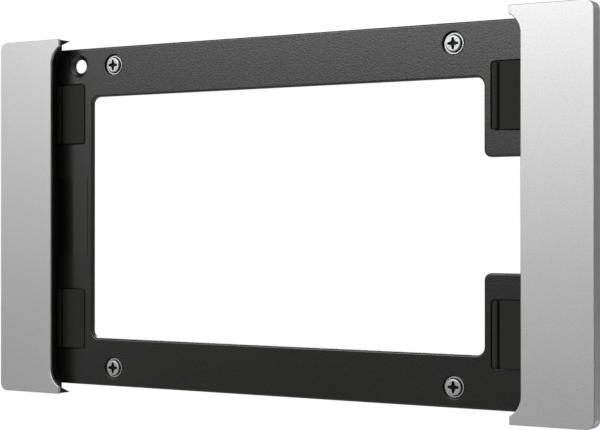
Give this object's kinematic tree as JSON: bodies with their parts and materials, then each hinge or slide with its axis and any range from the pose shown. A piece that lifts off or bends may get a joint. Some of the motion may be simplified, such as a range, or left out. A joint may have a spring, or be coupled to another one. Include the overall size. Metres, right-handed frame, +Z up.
{
  "type": "tablet wall mount",
  "caption": "Slim landscape wall mount for a small tablet: black steel back plate with a large window and cable gap, and satin aluminium side covers that slide outward to free the tablet.",
  "frame": {"origin": "centre of the four wall screws, on the wall plane at the backs of the plate's bosses", "axes": "+X to the right along the long side, +Y into the wall, +Z up; the front faces -Y"},
  "size_m": [0.2506, 0.0278, 0.1394],
  "materials": {
    "powder_coated_steel": "semi-matt black powder coat",
    "bumper_rubber": "moulded, matt",
    "label_film": "printed polyester film",
    "zinc_plated_steel": "zinc plated",
    "anodised_aluminium": "bead blasted and anodised, satin",
    "carrier_plastic": "moulded ABS, fine texture",
    "insert_brass": "turned, knurled",
    "black_oxide_steel": "black oxide"
  },
  "bodies": {
    "wall_base": {"base_plate": "powder_coated_steel", "bumper_upper_right": "bumper_rubber", "bumper_lower_right": "bumper_rubber", "bumper_upper_left": "bumper_rubber", "bumper_lower_left": "bumper_rubber", "label": "label_film", "wall_screw_upper_left": "zinc_plated_steel", "wall_screw_upper_right": "zinc_plated_steel", "wall_screw_lower_left": "zinc_plated_steel", "wall_screw_lower_right": "zinc_plated_steel", "wall_washer_upper_left": "zinc_plated_steel", "wall_washer_upper_right": "zinc_plated_steel", "wall_washer_lower_left": "zinc_plated_steel", "wall_washer_lower_right": "zinc_plated_steel"},
    "left_slider": {"left_cover": "anodised_aluminium", "left_carrier": "carrier_plastic", "left_cover_screw_1": "black_oxide_steel", "left_cover_screw_2": "black_oxide_steel", "left_cover_screw_3": "black_oxide_steel", "left_cover_screw_4": "black_oxide_steel", "left_lock_insert": "insert_brass", "left_lock_screw": "black_oxide_steel"},
    "right_slider": {"right_cover": "anodised_aluminium", "right_carrier": "carrier_plastic", "right_cover_screw_1": "black_oxide_steel", "right_cover_screw_2": "black_oxide_steel", "right_cover_screw_3": "black_oxide_steel", "right_cover_screw_4": "black_oxide_steel", "right_lock_insert": "insert_brass", "right_lock_screw": "black_oxide_steel"}
  },
  "joints": [
    {"name": "left_cover_slide", "type": "slide", "parent": "wall_base", "child": "left_slider", "axis": [-1, 0, 0], "range_m": [0, 0.01]},
    {"name": "right_cover_slide", "type": "slide", "parent": "wall_base", "child": "right_slider", "axis": [1, 0, 0], "range_m": [0, 0.01]}
  ]
}
